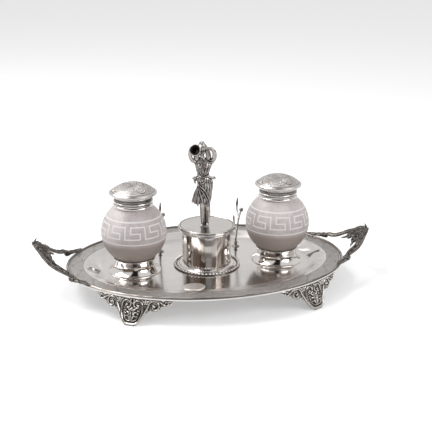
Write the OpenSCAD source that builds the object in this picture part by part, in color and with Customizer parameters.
// Oval desk inkstand: a dished tray on four cast feet, with two hinged ink wells, a round box
// whose lid carries a cast figure, and a pair of pen rests. Millimetres, standing on z = 0,
// front towards -Y, centred on the middle of the tray.

/* [Tray] */
// Length of the tray over its rim
tray_l = 288; // [287:1:300]
// Depth of the tray over its rim, front to back
tray_w = 210; // [204:1:222]
// Height of the rim's top above the table
rim_h = 27.5; // [25:0.5:34]
// Thickness of the tray's sheet
sheet_t = 1.2; // [0.8:0.1:1.5]
// Width of the flat border
border_w = 18; // [15:0.5:18.5]
// Depth of the tray's floor below its border
dish_d = 5.9; // [4.5:0.1:7]
// Run of the slope between border and floor at the two ends
slope_end = 20; // [15:0.5:20.5]
// Run of the slope between border and floor at the front and back
slope_side = 8; // [5:0.5:12]
// Width of the moulding soldered round the rim
moulding_w = 3; // [2.2:0.1:4]
// Height of the moulding soldered round the rim
moulding_h = 1.6; // [1.2:0.1:2.2]

/* [Handles] */
// Distance from the middle of the tray to a handle's tip
handle_reach = 176.5; // [173:0.5:180]
// Angle at which the left handle rises from the rim
handle_rise_left = 33; // [28:1:36]
// Angle at which the right handle rises from the rim
handle_rise_right = 23; // [19:1:30]
// Width of a handle's arm
arm_w = 7; // [5.6:0.2:7.6]
// Thickness of a handle's arm
arm_t = 3.2; // [2.6:0.2:4.2]
// Length of the small leaf that stands up at a handle's tip
tip_leaf_l = 6; // [3:0.5:8]

/* [Feet] */
// Place of a foot round the rim, as an angle of the oval
foot_at = 52; // [46:1:58]
// Length of a foot along the rim
foot_span = 80; // [66:1:86]
// How far a toe kicks out beyond the rim
foot_kick = 8.9; // [5:0.1:12]
// Thickness of a foot's web
foot_t = 2.4; // [1.8:0.1:3.2]
// Radius of the raised scrolls on a foot
scroll_r = 1.1; // [0.7:0.1:1.4]

/* [Ink wells] */
// Distance between the centres of the two wells
well_pitch = 150; // [140:1:151]
// Diameter of a glass globe
globe_d = 66; // [62:0.5:67]
// Diameter of a globe's flat base
globe_base_d = 24; // [18:0.5:26]
// Height of a globe's base above the tray's floor
globe_lift = 10.6; // [9:0.1:13]
// Thickness of the glass
glass_t = 3.8; // [2.5:0.1:5]
// Outer diameter of a globe's neck
glass_neck_d = 34; // [31:0.5:35]
// Bore of a globe's neck
glass_bore_d = 27; // [22:0.5:28]

/* [Well sockets] */
// Diameter of a socket's flared foot
flare_d = 53; // [50:0.5:60]
// Diameter of a socket over its rolled rim
socket_rim_d = 44.6; // [42:0.2:48]
// Radius of the roll of a socket's rim
rim_roll_r = 0.9; // [0.7:0.1:1.2]
// Diameter of a socket at its narrowest
socket_waist_d = 40.6; // [39:0.2:41.4]
// How late a socket's wall turns out into its flare, where 1 is a plain cone
flare_turn = 2; // [1.6:0.1:4]
// Thickness of a socket's sheet
socket_t = 1.2; // [0.8:0.1:1.5]

/* [Well mounts] */
// Outer diameter of a collar
collar_d = 40; // [39:0.2:42]
// Height of a collar
collar_h = 12.6; // [11:0.2:15]
// Thickness of the cement between collar and glass
cement_t = 0.8; // [0.5:0.1:1.2]
// Diameter of a well's lid
lid_d = 48; // [46:0.5:52]
// Thickness of the lid's edge
lid_edge_t = 1.8; // [1.4:0.1:2.4]
// Height of the lid's dome above its edge
dome_h = 9.2; // [6:0.2:12]
// Thickness of the lid's metal
lid_t = 1.1; // [0.8:0.1:1.6]
// Diameter of a hinge's pin
pin_d = 1.6; // [1.2:0.1:2]
// Diameter of a hinge's knuckles
knuckle_d = 3.6; // [3.2:0.1:4.2]
// Width of a hinge over its three knuckles
hinge_w = 13; // [10:0.5:16]

/* [Round box] */
// Outer diameter of the box's wall
box_d = 50.4; // [46:0.2:52]
// Thickness of the box's wall
box_t = 1.2; // [0.8:0.1:1.8]
// Height of the box's wall above the tray's floor
box_h = 40.6; // [34:0.2:46]
// Outer diameter of the beaded ring at the box's foot
flange_d = 68.8; // [62:0.2:72]
// Height of that ring where it meets the wall
flange_h = 3.4; // [2.6:0.1:5]
// Radius of the beads round that ring's edge
bead_r = 1.1; // [0.8:0.1:1.2]
// Diameter of the box's lid over its moulding
box_lid_d = 59.2; // [57:0.2:62]
// Height of the lid's plate over the top of the wall
box_lid_t = 2.3; // [1.8:0.1:3]
// Height of the raised line round the top of the lid
lid_line_h = 0.4; // [0.2:0.1:0.8]
// How far the lid's moulding reaches down round the wall
lid_skirt = 3.3; // [2:0.1:5]
// Depth of the bezel below the lid
bezel_h = 5; // [3:0.5:7]

/* [Figure] */
// Height of the figure above the box lid
figure_h = 88; // [70:1:100]
// Turn of the figure away from the front
figure_turn = -12.5; // [-30:0.5:30]
// Diameter of the water jar's mouth
jar_mouth_d = 11.2; // [9:0.2:12]

/* [Pen rests] */
// Distance between the two pen rests
rest_pitch = 83.4; // [78:0.2:86]
// Place of the pen rests behind the middle of the tray
rest_y = 44.5; // [40:0.5:50]
// Thickness of a pen rest's rods
rod_d = 2; // [1.6:0.1:2.6]
// Diameter of the ball at the front prong's end
ball_d = 4.6; // [3.6:0.1:5.4]

/* [Plaque] */
// Place of the plaque to the left of the tray's middle
plaque_x = 25; // [0:0.5:32]
// Place of the plaque in front of the tray's middle
plaque_y = 58.5; // [46:0.5:70]
// Length of the oval plaque
plaque_l = 22; // [16:0.5:24]
// Depth of the oval plaque
plaque_w = 17; // [12:0.5:18]
// Thickness of the plaque
plaque_t = 0.8; // [0.5:0.1:1.2]

/* [Fixings] */
// Diameter of the studs of the sockets and of the box
stud_d = 4; // [3:0.1:5]
// Diameter of the studs of the pen rests and of the figure
small_stud_d = 2.4; // [2:0.1:3]
// Thickness of a nut
nut_t = 2.4; // [1.8:0.1:3]
// Gap between pieces that lift or swing apart
clear = 0.3; // [0.25:0.05:0.4]
// Radial clearance of a pin or stud in its hole
fit = 0.04; // [0.02:0.01:0.1]

/* [Hidden] */
$fn = 96;
oval_steps = 96;

// Heights that the pieces share
border_z = rim_h - moulding_h;
floor_z = border_z - dish_d;
under_border = border_z - sheet_t;
under_floor = floor_z - sheet_t;

// The globe and what it carries
globe_r = globe_d / 2;
seat_z = floor_z + globe_lift;
globe_z = seat_z + sqrt(pow(globe_r, 2) - pow(globe_base_d / 2, 2));
function globe_top(r) = globe_z + sqrt(pow(globe_r, 2) - pow(r, 2));
collar_bore = glass_neck_d / 2 + cement_t;
collar_lip_t = 1.9;
collar_z = globe_top(collar_d / 2 - 0.6) + 0.2;
collar_top = collar_z + collar_h;
glass_top = collar_top - collar_lip_t - 0.2;
lid_z = collar_top + 0.6;
dome_z = lid_z + lid_edge_t;
hinge_y = lid_d / 2 + knuckle_d / 2 + 0.4;
hinge_z = lid_z + 0.2;
liner_r = collar_d / 2 - 0.4;
lid_lug = 0.36 * hinge_w;

// The socket's rolled rim stands clear of the globe that it holds
roll_x = socket_rim_d / 2 - rim_roll_r;
roll_z = globe_z - sqrt(pow(globe_r + rim_roll_r + clear, 2) - pow(roll_x, 2));
waist_z = floor_z + 0.62 * (roll_z - floor_z);

// The box
box_top = floor_z + box_h;
lid_plate_z = box_top + box_lid_t;
box_floor_t = 1.4;

// The rim's shape at a foot
rim_a = tray_l / 2;
rim_b = tray_w / 2;
foot_bend = pow(pow(rim_a * sin(foot_at), 2) + pow(rim_b * cos(foot_at), 2), 1.5) / (rim_a * rim_b);
foot_in = 1.5;

// A handle is drawn 44 long. Its arms stretch between the rim and the palmette until its tip
// reaches as far out as it should at its rise
handle_draw = 44;
palmette_from = 20;
function longer(rise) = (handle_reach - handle_root) / cos(rise) - handle_draw;
function arm_x(x, rise) = x + longer(rise) * min(x / palmette_from, 1);
handle_root = rim_a - 7;
handle_z = rim_h + 4;

// The figure is drawn 88 high
figure_draw = 88;
figure_k = figure_h / figure_draw;
figure_x = -1.5;
figure_y = -1;

// Studs and nuts
nut_af = 2 * stud_d;
small_nut_af = 2.2 * small_stud_d;
stud_end = under_floor - nut_t - 0.6;

silver = [0.78, 0.76, 0.73];
dark_silver = [0.55, 0.52, 0.49];
frosted = [0.80, 0.77, 0.76, 0.9];
plaster = [0.86, 0.84, 0.78];

// Vectors, and the walls of solids made of rings of points

function unit(v) = v / norm(v);
function square_to(v, t) = unit(v - (v * t) * t);
function along(p, i) = unit(p[min(i + 1, len(p) - 1)] - p[max(i - 1, 0)]);

// Rings of n points each, joined into a closed solid with a flat cap at both ends
module rings_solid(rings) {
    n = len(rings[0]);
    m = len(rings);
    polyhedron(
        points = [for (r = rings) each r],
        faces = concat(
            [[for (k = [0:n - 1]) k]],
            [for (i = [0:m - 2], k = [0:n - 1])
                let (j = (k + 1) % n) [i * n + k, (i + 1) * n + k, (i + 1) * n + j, i * n + j]],
            [[for (k = [n - 1:-1:0]) (m - 1) * n + k]]),
        convexity = 8);
}

// Rings of n points each, joined into a closed loop such as a moulding
module loop_solid(rings) {
    n = len(rings[0]);
    m = len(rings);
    polyhedron(
        points = [for (r = rings) each r],
        faces = [for (i = [0:m - 1], k = [0:n - 1])
            let (j = (k + 1) % n, h = (i + 1) % m) [i * n + k, h * n + k, h * n + j, i * n + j]],
        convexity = 8);
}

// A bar along a path. w and t are its half width, towards side, and its half thickness
module bar(path, w, t, side, n = 8) {
    rings_solid([for (i = [0:len(path) - 1])
        let (d = along(path, i), y = square_to(side, d), x = cross(d, y))
        [for (k = [0:n - 1]) path[i] + w[i] * cos(360 * k / n) * y + t[i] * sin(360 * k / n) * x]]);
}

// A stack of ovals, each given as [height, centre x, centre y, half width, half depth]
module stacked(ovals, n = 20) {
    rings_solid([for (o = ovals)
        [for (k = [0:n - 1]) [o[1] + o[3] * cos(360 * k / n), o[2] + o[4] * sin(360 * k / n), o[0]]]]);
}

function ramp(f) = (1 - cos(180 * f)) / 2;

// Tray

// The point of the oval at angle t, moved inwards by d
function oval(t, d) =
    let (n = unit([cos(t) / rim_a, sin(t) / rim_b]))
    [rim_a * cos(t) - d * n[0], rim_b * sin(t) - d * n[1]];
function slope_run(t) = slope_side + (slope_end - slope_side) * pow(cos(t), 2);
function oval_ring(d, f, z) = [for (k = [0:oval_steps - 1])
    let (t = 360 * k / oval_steps, p = oval(t, d + f * slope_run(t))) [p[0], p[1], z]];

module tray() {
    down = [0:0.2:1];
    color(silver) difference() {
        rings_solid(concat(
            [for (f = down) oval_ring(border_w, 1 - f, under_border - dish_d * ramp(1 - f))],
            [oval_ring(0, 0, under_border), oval_ring(0, 0, border_z)],
            [for (f = down) oval_ring(border_w, f, border_z - dish_d * ramp(f))]));
        for (x = [-1, 0, 1] * well_pitch / 2)
            translate([x, 0, under_floor - 1]) cylinder(d = stud_d + 2 * fit, h = sheet_t + 2);
        for (x = [-1, 1] * rest_pitch / 2)
            translate([x, rest_y, under_floor - 1]) cylinder(d = small_stud_d + 2 * fit, h = sheet_t + 2);
    }
}

module rim_moulding() {
    section = [[0.3, 1], [0, 0.5], [0, 0], [1, 0], [1, 0.5], [0.7, 1]];
    color(silver) loop_solid([for (k = [0:oval_steps - 1])
        [for (s = section)
            let (p = oval(360 * k / oval_steps, s[0] * moulding_w)) [p[0], p[1],
                border_z + s[1] * moulding_h]]]);
}

// Feet, drawn with x outwards from the rim, y along it and z up from the table, 80 long and 24.7
// high

foot_top = 24.7;
foot_u = foot_span / 80;
foot_v = under_border / foot_top;
function kick(z) = (foot_kick + foot_in) * pow(max(0, 1 - z / under_border), 1.6) - foot_in;
function foot_pt(p, out) =
    let (u = p[0] * foot_u, z = p[1] * foot_v) [kick(z) - u * u / (2 * foot_bend) + out, u, z];

// A volute: radius from r[0] to r[1] while the angle goes from a[0] to a[1]
function volute(c, r, a, steps) = [for (k = [0:steps])
    let (q = r[0] + (r[1] - r[0]) * k / steps, b = a[0] + (a[1] - a[0]) * k / steps)
    [c[0] + q * cos(b), c[1] + q * sin(b)]];

// The lower edge of a foot's web: distance from its middle, height above the table
foot_edge = [[0, 0], [4.6, 0], [8.2, 2.4], [10.4, 6], [12.6, 9.4], [15.4, 12.2], [18.6, 13.6], [21.5, 13.2],
    [25, 14.2], [28, 17.4], [33, 18.4], [36.5, 20.6], [40, 23.2]];

module foot_web() {
    side = [for (p = foot_edge) p[0]];
    columns = concat([for (i = [len(side) - 1:-1:1]) -side[i]], side);
    rows = [0:0.2:1];
    rings_solid([for (u = columns)
        let (low = lookup(abs(u), foot_edge))
        concat(
            [for (f = rows) foot_pt([u, foot_top - (foot_top - low) * f], 0)],
            [for (f = rows) foot_pt([u, low + (foot_top - low) * f], -foot_t)])]);
}

module foot_scroll(p, r, flip) {
    path = [for (q = p) foot_pt([q[0] * flip, q[1]], 0.1)];
    bar(path, [for (f = [0:len(p) - 1]) r * (1 - 0.3 * f / len(p))],
        [for (f = [0:len(p) - 1]) r * (1 - 0.3 * f / len(p))], [1, 0, 0], 6);
}

module foot(flip_x, flip_y) {
    t = foot_at;
    turn = atan2(sin(t) / rim_b, cos(t) / rim_a);
    shield = concat([[0, 1.4], [4.2, 1.6], [7.2, 3.2], [9, 6.4], [10, 10], [10.4, 13.4]],
        volute([5, 17.6], [5.3, 1.4], [-8, 350], 10));
    wing = concat([[8.8, 5.4], [11.6, 9.6], [13.8, 13.8]], volute([21.6, 17.8], [6, 1.6], [-178,
        -640] + [0, 80], 11));
    tail = concat([[23.5, 22.6], [28, 21.4]], volute([32.2, 21.6], [2.2, 1.1], [-130, 150], 6));
    color(dark_silver)
    mirror([flip_x < 0 ? 1 : 0, 0, 0]) mirror([0, flip_y < 0 ? 1 : 0, 0])
    translate([rim_a * cos(t), rim_b * sin(t), 0]) rotate([0, 0, turn]) {
        foot_web();
        for (flip = [-1, 1]) {
            foot_scroll(shield, scroll_r, flip);
            foot_scroll(wing, scroll_r, flip);
            foot_scroll(tail, 0.8 * scroll_r, flip);
        }
        bar([for (v = [4, 6.5, 9.5, 12.5, 15]) foot_pt([0, v], 0)], [1.6, 3.6, 4.6, 4.2, 2], [0.4, 1.3,
            1.8, 1.5, 0.6],
            [0, 1, 0], 8);
    }
}

// Handles, drawn with x outwards from the root, y along the rim and z off the face. An arm sags
// below the straight line from its root to the tip, and its outer edge leans down

arm_path = [[2.2, 35, -2.2], [6.3, 30.8, -3.1], [10.1, 26.4, -4.1], [13.3, 24, -4.5], [16.4, 22.6, -4.6],
    [20, 20.9, -4.4], [23.1, 18.9, -3.9], [26.6, 16.2, -3.3], [30.2, 12.8, -2.4], [33.7, 9.8, -1.6],
    [37.2, 7, -0.9], [40.5, 3.8, -0.5], [43, 1, -0.2]];
arm_share = [0.6, 0.75, 0.9, 1, 1, 1, 1, 1, 0.95, 0.85, 0.75, 0.6, 0.4];

module handle_arm(flip, rise) {
    bar([for (p = arm_path) [arm_x(p[0], rise), p[1] * flip, p[2]]], arm_share * arm_w / 2,
        arm_share * arm_t / 2, [0.6, 0.8 * flip, -0.4]);
}

// The palmette is a fan whose edge and ridges swell and sink together, once to a leaf
leaf_a = 20;

module palmette() {
    rings_solid([for (a = [-2.5 * leaf_a:leaf_a / 4:2.5 * leaf_a])
        let (swell = (1 + cos(360 * a / leaf_a)) / 2, r = 18.2 - 0.11 * abs(a) + 1.3 * swell,
            top = 0.9 + swell)
        [for (p = [[1.5, 0.8], [0.55 * r, top + 0.5], [r - 1.4, top], [r, 0], [r - 1, -1], [1.5, -1]])
            [p[0] * cos(a), p[0] * sin(a), p[1]]]]);
}

// The small leaf that stands up at the tip
module tip_leaf() {
    bar([[18.6, 0, 0.2], [20, 0, 0.45 * tip_leaf_l], [20.2, 0, tip_leaf_l]],
        [2.4, 2, 0.5], [1.3, 1, 0.4], [0, 1, 0], 6);
}

module inner_volute(flip) {
    path = volute([0.8, 5.8], [5, 1.2], [10, 400], 12);
    bar([for (p = path) [p[0], p[1] * flip, 0.2]], [for (k = [0:12]) 1.7 - 0.03 * k],
        [for (k = [0:12]) 1.1 - 0.03 * k], [0, 0, 1], 6);
}

// The spur that hangs from a volute, back towards the rim
module spur(flip) {
    bar([for (p = [[-1.7, 8.3], [-4.2, 10.4], [-6.2, 12], [-8, 13.8]]) [p[0], p[1] * flip, 0.1]],
        [1.3, 1.2, 1, 0.3], [1.2, 1.2, 1, 0.4], [0, 0, 1], 8);
}

// The flower at an arm's foot, which hangs outside the rim, and the leaf beyond it, which lies
// along the rim: place along y, distance in from the rim, half width, height
terminal = [[29, -3, 1.4, 1.2], [31, -4.2, 3.8, 3.6], [34, -4.4, 4.6, 4.6], [37, -3.4, 3.8, 3.8],
    [39.5, -1.6, 3, 2.8], [42, -0.6, 3.2, 2.7], [45, 0.2, 3, 2.4], [48.5, 0.8, 2, 1.6], [52, 1.2, 0.6, 0.5]];

module handle_terminal() {
    rings_solid([for (s = terminal)
        let (t = asin(s[0] / rim_b), p = oval(t, s[1]), n = unit([cos(t) / rim_a, sin(t) / rim_b]))
        [for (a = [180:-30:0])
            let (q = p + s[2] * cos(a) * n) [q[0], q[1], rim_h + s[3] * sin(a)]]]);
}

palmette_rise = 10;
palmette_sag = 3.6;

module handle(rise) {
    color(dark_silver) {
        translate([handle_root, 0, handle_z]) rotate([0, -rise, 0]) {
            translate([arm_x(23, rise), 0, -palmette_sag]) rotate([0, -palmette_rise, 0]) {
                palmette();
                tip_leaf();
                for (flip = [-1, 1]) {
                    inner_volute(flip);
                    spur(flip);
                }
            }
            for (flip = [-1, 1]) handle_arm(flip, rise);
        }
        handle_terminal();
        mirror([0, 1, 0]) handle_terminal();
    }
}

// Well sockets

flare_lip = 0.8;
function flare_pt(f) =
    [socket_waist_d / 2 + (flare_d / 2 - flare_lip - socket_waist_d / 2) * pow(1 - f, flare_turn),
        floor_z + flare_lip + f * (waist_z - floor_z - flare_lip)];

module socket(x) {
    flare = [for (f = [0:0.1:1]) flare_pt(f)];
    lower = [for (f = [1:-0.1:0]) let (p = flare_pt(f)) [p[0] - 0.8 * socket_t, max(floor_z,
        p[1] - 0.8 * socket_t)]];
    inner = socket_waist_d / 2 - socket_t;
    color(silver) translate([x, 0, 0]) {
        rotate_extrude() {
            polygon(concat([[flare_d / 2, floor_z], [flare_d / 2, floor_z + flare_lip]], flare,
                [[roll_x + 0.4, roll_z - 0.4], [roll_x - 0.6, roll_z - 0.2], [inner, roll_z - 2],
                    [inner, seat_z], [0, seat_z],
                    [0, seat_z - socket_t], [inner, seat_z - socket_t]], lower));
            translate([roll_x, roll_z]) circle(rim_roll_r, $fn = 24);
        }
        translate([0, 0, floor_z]) cylinder(r = stud_d, h = seat_z - socket_t - floor_z);
        translate([0, 0, stud_end]) cylinder(d = stud_d, h = floor_z - stud_end + 1);
    }
}

// Ink wells

module well_glass(x) {
    inner_r = globe_r - glass_t;
    color(frosted) translate([x, 0, 0]) difference() {
        union() {
            intersection() {
                translate([0, 0, globe_z]) sphere(globe_r);
                translate([0, 0, seat_z]) cylinder(r = globe_r + 1, h = 2 * globe_r);
            }
            translate([0, 0, globe_z]) cylinder(d = glass_neck_d, h = glass_top - globe_z);
        }
        intersection() {
            translate([0, 0, globe_z]) sphere(inner_r);
            translate([0, 0, seat_z + glass_t]) cylinder(r = globe_r, h = 2 * globe_r);
        }
        translate([0, 0, globe_z]) cylinder(d = glass_bore_d, h = globe_r * 2);
    }
}

module cement(x) {
    color(plaster) translate([x, 0, 0]) rotate_extrude()
        polygon([[glass_neck_d / 2 + fit, globe_top(glass_neck_d / 2) + 0.2], [collar_bore - fit,
            globe_top(glass_neck_d / 2) + 0.2],
            [collar_bore - fit, glass_top], [glass_neck_d / 2 + fit, glass_top]]);
}

module collar(x) {
    r = collar_d / 2;
    // Steps of the mouldings up the collar: distance from its outer radius, share of its height
    steps = [[-0.6, 0], [0, 0.04], [0, 0.12], [-0.9, 0.16], [-0.9, 0.22], [-0.3, 0.26], [-0.3, 0.34],
        [-1, 0.38], [-1, 0.44],
        [-0.5, 0.48], [-0.5, 0.55], [-1.3, 0.6], [-1.3, 0.74], [0.4, 0.82], [0.7, 0.9], [0.4, 1]];
    lug_x = lid_lug / 2 + clear;
    lug_w = hinge_w / 2 - lug_x;
    color(silver) translate([x, 0, 0]) {
        rotate_extrude() polygon(concat(
            [for (s = steps) [r + s[0], collar_z + s[1] * collar_h]],
            [[glass_bore_d / 2 + 0.2, collar_top], [glass_bore_d / 2 + 0.2, collar_top - collar_lip_t],
                [collar_bore, collar_top - collar_lip_t], [collar_bore, globe_top(collar_bore) + 0.3]]));
        difference() {
            for (side = [-1, 1]) translate([side > 0 ? lug_x : -lug_x - lug_w, 0, 0]) {
                translate([0, collar_bore + 0.6, collar_top - 2.2]) cube([lug_w,
                    hinge_y - collar_bore - 0.6, 2.2]);
                translate([0, hinge_y, hinge_z]) rotate([0, 90, 0]) cylinder(d = knuckle_d, h = lug_w);
            }
            translate([-hinge_w, hinge_y, hinge_z]) rotate([0, 90, 0]) cylinder(d = pin_d + 2 * fit,
                h = 2 * hinge_w);
        }
    }
}

module lid(x) {
    r = lid_d / 2;
    foot_r = r - 0.8;
    dome_r = (foot_r * foot_r + dome_h * dome_h) / (2 * dome_h);
    inner_r = dome_r - lid_t;
    rise = function (q, radius) dome_z + dome_h - dome_r + sqrt(radius * radius - q * q);
    color(silver) translate([x, 0, 0]) {
        rotate_extrude() polygon(concat(
            [[liner_r + fit, lid_z], [r - 0.5, lid_z], [r, lid_z + 0.5], [r, dome_z - 0.4], [r - 0.3,
                dome_z]],
            [for (k = [0:12]) let (q = foot_r * (1 - k / 12)) [q, rise(q, dome_r)]],
            [for (k = [0:8]) let (q = liner_r * k / 8) [q, rise(q, inner_r)]],
            [[liner_r + fit, lid_z + lid_edge_t - 0.4]]));
        difference() {
            union() {
                translate([-lid_lug / 2, liner_r + 2, lid_z]) cube([lid_lug, hinge_y - liner_r - 2, 1.3]);
                translate([-lid_lug / 2, hinge_y, hinge_z]) rotate([0, 90, 0]) cylinder(d = knuckle_d,
                    h = lid_lug);
            }
            translate([-hinge_w, hinge_y, hinge_z]) rotate([0, 90, 0]) cylinder(d = pin_d + 2 * fit,
                h = 2 * hinge_w);
        }
    }
}

module lid_liner(x) {
    color(silver) translate([x, 0, collar_top]) cylinder(r = liner_r, h = lid_z - collar_top + 1);
}

module hinge_pin(x) {
    color(silver) translate([x - hinge_w / 2 - 0.2, hinge_y, hinge_z]) rotate([0, 90,
        0]) cylinder(d = pin_d, h = hinge_w + 0.4);
}

// Round box

module box_body() {
    color(silver) {
        difference() {
            translate([0, 0, floor_z]) cylinder(d = box_d, h = box_h);
            translate([0, 0, floor_z + box_floor_t]) cylinder(d = box_d - 2 * box_t, h = box_h);
        }
        translate([0, 0, stud_end]) cylinder(d = stud_d, h = floor_z - stud_end + 1);
    }
}

module box_flange() {
    inner = box_d / 2 + fit;
    outer = flange_d / 2;
    color(silver) translate([0, 0, floor_z]) rotate_extrude() {
        polygon([[inner, 0], [outer, 0], [outer, 0.5], [outer - 0.6, 0.8], [outer - 3.6, 1],
            [outer - 5, flange_h - 1.2], [inner + 1.4, flange_h - 0.3], [inner, flange_h]]);
        intersection() {
            translate([outer - bead_r - 0.5, 1.7 - bead_r]) circle(bead_r, $fn = 24);
            square([outer, flange_h]);
        }
    }
}

module box_lid() {
    r = box_lid_d / 2;
    wall = box_d / 2 + clear;
    top = lid_plate_z;
    color(silver) difference() {
        rotate_extrude() polygon([[0, box_top], [wall, box_top], [wall, box_top - lid_skirt], [r - 2.2,
            box_top - lid_skirt],
            [r - 1.4, box_top - lid_skirt + 0.8], [r - 1.5, box_top - 1.4], [r - 0.4, box_top - 0.6],
                [r, box_top + 0.4],
            [r - 0.2, top - 0.9], [r - 0.9, top - 0.2], [r - 1.2, top + lid_line_h - 0.1], [r - 1.5,
                top + lid_line_h],
            [r - 2, top + lid_line_h - 0.1], [r - 2.2, top], [0, top]]);
        translate([figure_x, figure_y, box_top - 1]) cylinder(d = small_stud_d + 2 * fit,
            h = box_lid_t + 2);
    }
}

module box_bezel() {
    outer = box_d / 2 - box_t - clear;
    color(silver) translate([0, 0, box_top - bezel_h]) difference() {
        cylinder(r = outer, h = bezel_h);
        translate([0, 0, -1]) cylinder(r = outer - 1, h = bezel_h + 2);
    }
}

// The figure, drawn with z up from the box lid and its front towards -Y

jar_axis = [0, -cos(18), sin(18)];
jar_mouth = [-10.3, -8, 81];

module jar_shape(extra) {
    translate(jar_mouth) rotate([72, 0, 0]) rotate_extrude() polygon(concat([[0, 0]],
        [for (p = [[1, 0], [1, 1.2], [0.68, 3], [0.66, 4.4], [0.9, 6.6], [1.08, 9.4], [1.06, 12],
            [0.82, 15], [0.5, 17.4], [0.5, 18.6]])
            [p[0] * jar_mouth_d / 2 + extra, -p[1] - (p[1] > 18 ? extra : 0)]],
        [[0, -18.6 - extra]]));
}

module on_lid() {
    translate([figure_x, figure_y, lid_plate_z]) rotate([0, 0, figure_turn]) scale(figure_k) children();
}

module figure_body() {
    // Skirt, bodice and neck
    stacked([[21.4, -0.6, 0.5, 5.4, 4.6], [27, -1.1, 0.3, 5.7, 4.8], [33, -1.3, 0, 6.3, 5.1],
        [40, -1, 0, 7.2, 5.5], [46, -0.8, 0.1, 7.8, 5.7], [50.4, -1.8, 0.2, 7.4, 5.2],
        [53, -2.3, 0, 6.3, 4.4], [58, -2.5, -0.3, 6.8, 4.9], [64, -2.2, -0.5, 8.6, 5.3],
        [67.6, -2.2, -0.1, 8.2, 4.4], [69.8, -2.9, 0.2, 4, 3], [71.6, -3.2, 0.1, 2.3, 2.3],
        [75, -3.6, -0.2, 2.1, 2.2]]);
    // Head with the hair drawn up
    stacked([[72.4, -3.8, -0.8, 1.6, 2], [74.4, -3.9, -1, 3, 3.4], [77.6, -4, -0.6, 4.1, 4.9], [81,
        -4.2, -0.2, 4.6, 5.4],
        [84, -4.3, 0.3, 4.4, 5], [86.4, -4.5, 0.6, 3.3, 3.9], [88, -4.7, 0.8, 1.2, 1.6]], 16);
    // Hem of the overfold, which stands out at the hips
    stacked([[48.4, -2.3, 0.1, 9.8, 6.6], [50.6, -2.3, 0.1, 9.4, 6.3], [52.2, -2.4, 0, 6.8, 4.8]]);
    for (side = [-1, 1])
        bar([[-2.3 + side * 7.6, 0, 50.4], [-2.3 + side * 10, -0.6, 50], [-2.3 + side * 11.2, -1,
            49.4]], [1.6, 1.4, 0.8], [1.4, 1.4, 0.9], [0, 1, 0], 6);
    // The skirt's edge that blows out to one side
    bar([[-6, 0, 38], [-9.2, 0.6, 31], [-11, 0.8, 26], [-12, 0.8, 22.4]],
        [2.4, 2.8, 2.8, 1.8], [1.6, 1.6, 1.4, 1], [0, 1, 0]);
    // Arms: one under the jar, one over the head to it
    under = [2.2, 2.1, 1.9, 1.7, 1.5, 1.2];
    over = [2.6, 2.5, 2.3, 2.2, 2, 1.8, 1.5, 1.2, 1];
    bar([[-8.4, 0, 66], [-11.6, -1, 67.4], [-14, -1.8, 70], [-15.6, -2.6, 74], [-15.8, -3.4, 78],
        [-14.8, -4, 81]], under, under, [0, 1, 0]);
    bar([[3.2, 0, 66], [6.4, -0.4, 68], [8.6, -0.9, 71.4], [9, -1.3, 75], [8.2, -1.8, 78.4], [5.8, -2.4, 81],
        [2.4, -3.4, 82], [-1, -4.6, 81.8], [-3.4, -5.2, 81.6]], over, over, [0, 1, 0]);
    // Locks and cloth that fall from the head to the shoulders
    lock = [1.6, 2, 2.3, 2.4];
    bar([[-0.8, 0.8, 81], [1.4, 0.6, 77], [2.4, 0.3, 72], [1.8, 0, 67]], lock, lock, [0, 1, 0]);
    bar([[-6.8, 0.8, 80], [-7.7, 0.6, 76], [-8, 0.3, 71], [-8, 0, 67]], lock, lock, [0, 1, 0]);
    // Legs and feet
    bar([[-4, -2.6, 30], [-4.2, -3.4, 22], [-4.4, -2.6, 14], [-4, -1.8, 7], [-3.8, -1.6, 1.4]], [3,
        2.6, 2, 1.5, 1.3], [3, 2.6, 2, 1.5, 1.3],
        [0, 1, 0]);
    bar([[0.4, 0.4, 24], [1, 0.8, 15], [1.4, 1, 8], [1.4, 1, 1.4]], [2.4, 2.1, 1.5, 1.3], [2.4, 2.1,
        1.5, 1.3], [0, 1, 0]);
    bar([[-3.7, 0.4, 1.3], [-4, -2.4, 1.2], [-4.4, -6, 0.7]], [1.3, 1.6, 0.8], [1.3, 1.2, 0.7], [1, 0,
        0], 8);
    bar([[1.5, 3, 1.3], [1.8, 0, 1.2], [2.6, -3.4, 0.7]], [1.3, 1.6, 0.8], [1.3, 1.2, 0.7], [1, 0, 0], 8);
    // The ground that both feet stand on
    stacked([[0, -1.1, -1, 4.8, 5.2], [0.6, -1.1, -1, 4.5, 4.9]]);
}

module figure() {
    color(silver) {
        on_lid() difference() {
            figure_body();
            jar_shape(0.02);
        }
        translate([figure_x, figure_y, box_top - nut_t - 0.6]) cylinder(d = small_stud_d,
            h = box_lid_t + nut_t + 0.8);
    }
}

module water_jar() {
    color(dark_silver) on_lid() difference() {
        jar_shape(0);
        translate(jar_mouth) rotate([72, 0, 0]) translate([0, 0,
            -2.8]) cylinder(r1 = 0.52 * jar_mouth_d / 2, r2 = 0.84 * jar_mouth_d / 2, h = 2.9);
        translate(jar_mouth) rotate([72, 0, 0]) translate([0, 0,
            -9]) cylinder(r = 0.52 * jar_mouth_d / 2, h = 7);
    }
}

// A hexagonal nut hung below the height z
module nut(place, af, bore, z) {
    translate([place[0], place[1], z - nut_t]) difference() {
        cylinder(d = af / cos(30), h = nut_t, $fn = 6);
        translate([0, 0, -1]) cylinder(d = bore + 2 * fit, h = nut_t + 2);
    }
}

module figure_nut() {
    color(silver) nut([figure_x, figure_y], small_nut_af, small_stud_d, box_top);
}

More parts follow.
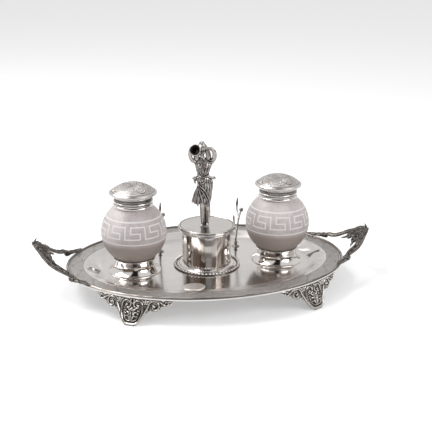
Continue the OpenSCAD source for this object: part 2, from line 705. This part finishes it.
module fixing_nuts() {
    color(dark_silver) {
        for (x = [-1, 0, 1] * well_pitch / 2) nut([x, 0], nut_af, stud_d, under_floor);
        for (x = [-1, 1] * rest_pitch / 2) nut([x, rest_y], small_nut_af, small_stud_d, under_floor);
    }
}

// Pen rests: each lies in an upright plane, from front to back

module pen_rest(x) {
    r = rod_d / 2;
    main = [[0.4, 4.6], [-0.4, 9], [-3.6, 18], [-7, 26], [-11, 34], [-16, 41], [-20, 46], [-23, 49.4]];
    leaf = [[-13, 37.4], [-9.4, 39.4], [-5.4, 42.4], [-3.8, 46], [-4.2, 50], [-5.4, 54], [-6.4, 58]];
    back = [[-4.4, 20], [0, 20.4], [5, 22.6], [8.6, 26.6], [9.6, 30], [9.4, 33]];
    ball = main[len(main) - 1];
    color(dark_silver) translate([x, rest_y, floor_z]) {
        rotate_extrude() polygon([[0, 0], [4.2, 0], [4.2, 0.6], [2.6, 1.2], [1.3, 2.4], [1.2, 3], [2.1,
            3.8], [2.3, 4.6], [2, 5.4], [1.1, 6], [0, 6]]);
        bar([for (p = main) [0, p[0], p[1]]], [for (p = main) r], [for (p = main) r], [1, 0, 0]);
        translate([0, ball[0], ball[1]]) sphere(d = ball_d, $fn = 32);
        bar([for (p = leaf) [0, p[0], p[1]]], r * [0.8, 0.8, 0.8, 0.9, 1.3, 1.2, 0.4], r * [0.8, 0.8,
            0.9, 1, 1.1, 0.9, 0.3], [1, 0, 0]);
        bar([for (p = back) [0, p[0], p[1]]], r * [0.8, 0.8, 0.8, 1, 1.1, 0.4], r * [0.8, 0.8, 0.8, 1,
            1, 0.3], [1, 0, 0]);
        translate([0, 0, stud_end - floor_z]) cylinder(d = small_stud_d, h = floor_z - stud_end + 1);
    }
}

module plaque() {
    n = 48;
    color([0.84, 0.80, 0.78]) translate([-plaque_x, -plaque_y, floor_z])
        linear_extrude(plaque_t) polygon([for (k = [0:n - 1]) [plaque_l / 2 * cos(360 * k / n),
            plaque_w / 2 * sin(360 * k / n)]]);
}

tray();
rim_moulding();
mirror([1, 0, 0]) handle(handle_rise_left);  // handle_left
handle(handle_rise_right);  // handle_right
foot(-1, -1);  // foot_front_left
foot(1, -1);  // foot_front_right
foot(-1, 1);  // foot_rear_left
foot(1, 1);  // foot_rear_right
socket(-well_pitch / 2);  // socket_left
socket(well_pitch / 2);  // socket_right
well_glass(-well_pitch / 2);  // well_glass_left
well_glass(well_pitch / 2);  // well_glass_right
cement(-well_pitch / 2);  // cement_left
cement(well_pitch / 2);  // cement_right
collar(-well_pitch / 2);  // collar_left
collar(well_pitch / 2);  // collar_right
lid(-well_pitch / 2);  // lid_left
lid(well_pitch / 2);  // lid_right
lid_liner(-well_pitch / 2);  // lid_liner_left
lid_liner(well_pitch / 2);  // lid_liner_right
hinge_pin(-well_pitch / 2);  // hinge_pin_left
hinge_pin(well_pitch / 2);  // hinge_pin_right
box_body();
box_flange();
box_lid();
box_bezel();
figure();
water_jar();
figure_nut();
pen_rest(-rest_pitch / 2);  // pen_rest_left
pen_rest(rest_pitch / 2);  // pen_rest_right
plaque();
fixing_nuts();
